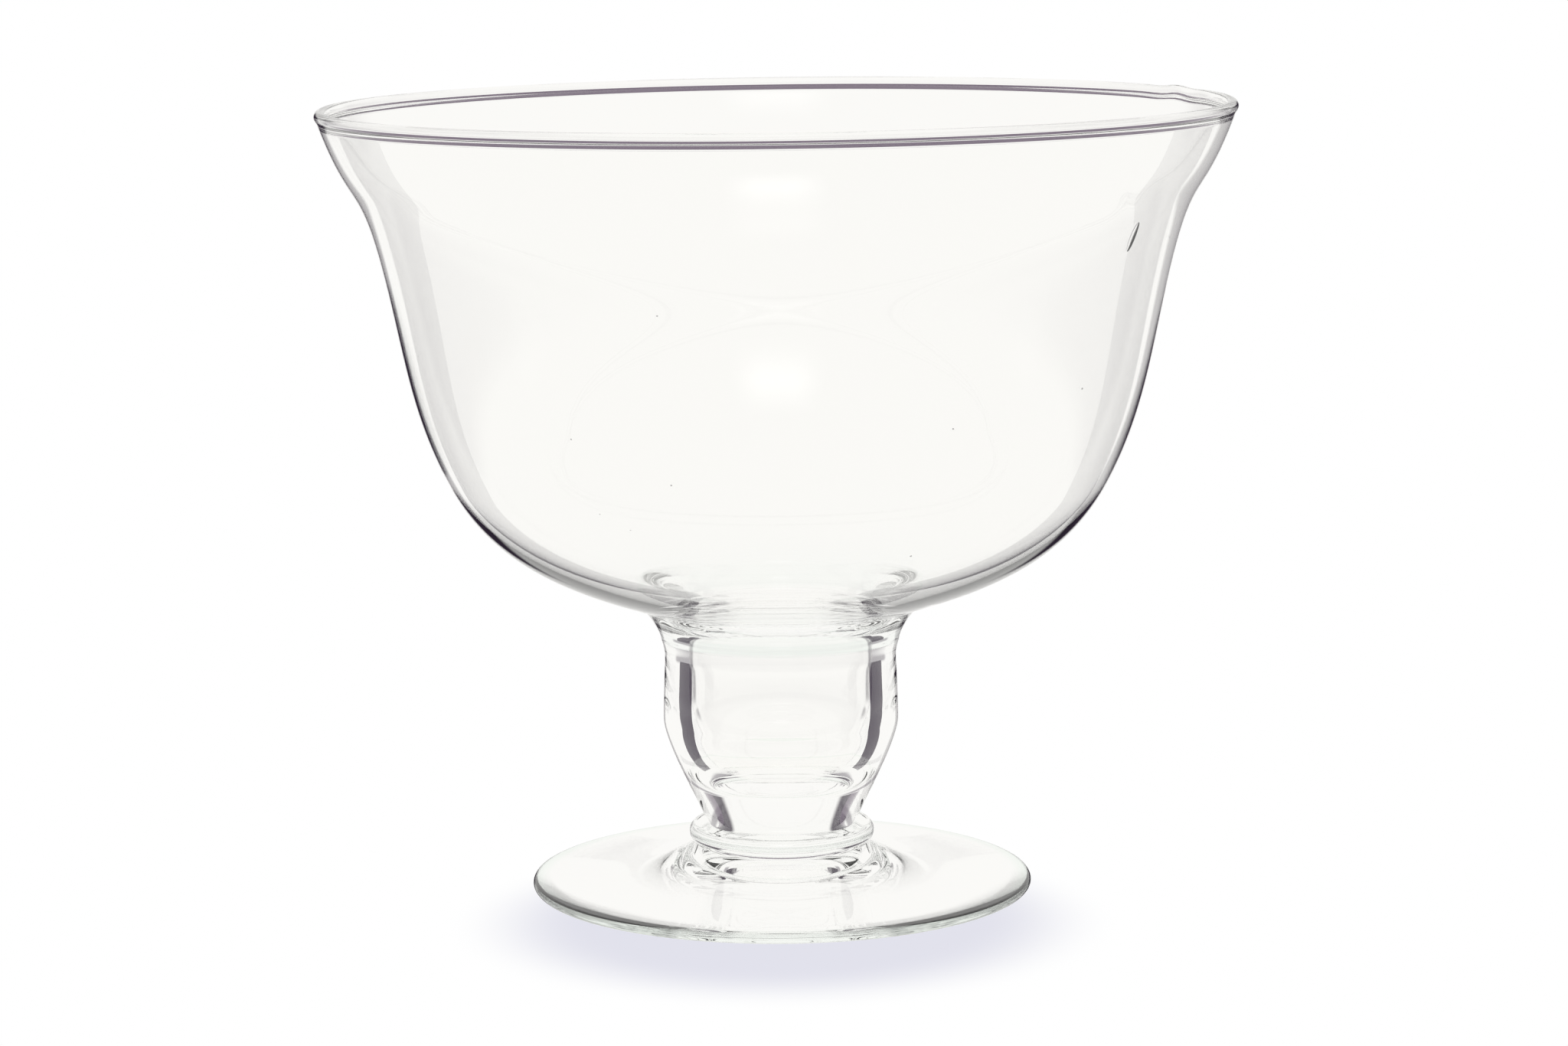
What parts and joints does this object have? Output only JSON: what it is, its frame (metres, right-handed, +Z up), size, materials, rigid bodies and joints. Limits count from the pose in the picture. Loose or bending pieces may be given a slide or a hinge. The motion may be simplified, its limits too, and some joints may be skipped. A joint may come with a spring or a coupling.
{
  "type": "punch bowl",
  "caption": "Flared clear glass punch bowl on a thick hollow baluster stem, with a collar ring and a spread round foot.",
  "frame": {"origin": "on the bowl's axis, at the table surface that the foot stands on", "axes": "+Z up along the bowl's axis of turning; +X and +Y are any two directions across it"},
  "size_m": [0.3, 0.3, 0.2605],
  "materials": {
    "clear_glass": "clear, fire-polished, with a faint green tint where it is thick"
  },
  "bodies": {
    "root": {"bowl": "clear_glass", "stem": "clear_glass", "collar": "clear_glass", "foot": "clear_glass"}
  },
  "joints": []
}
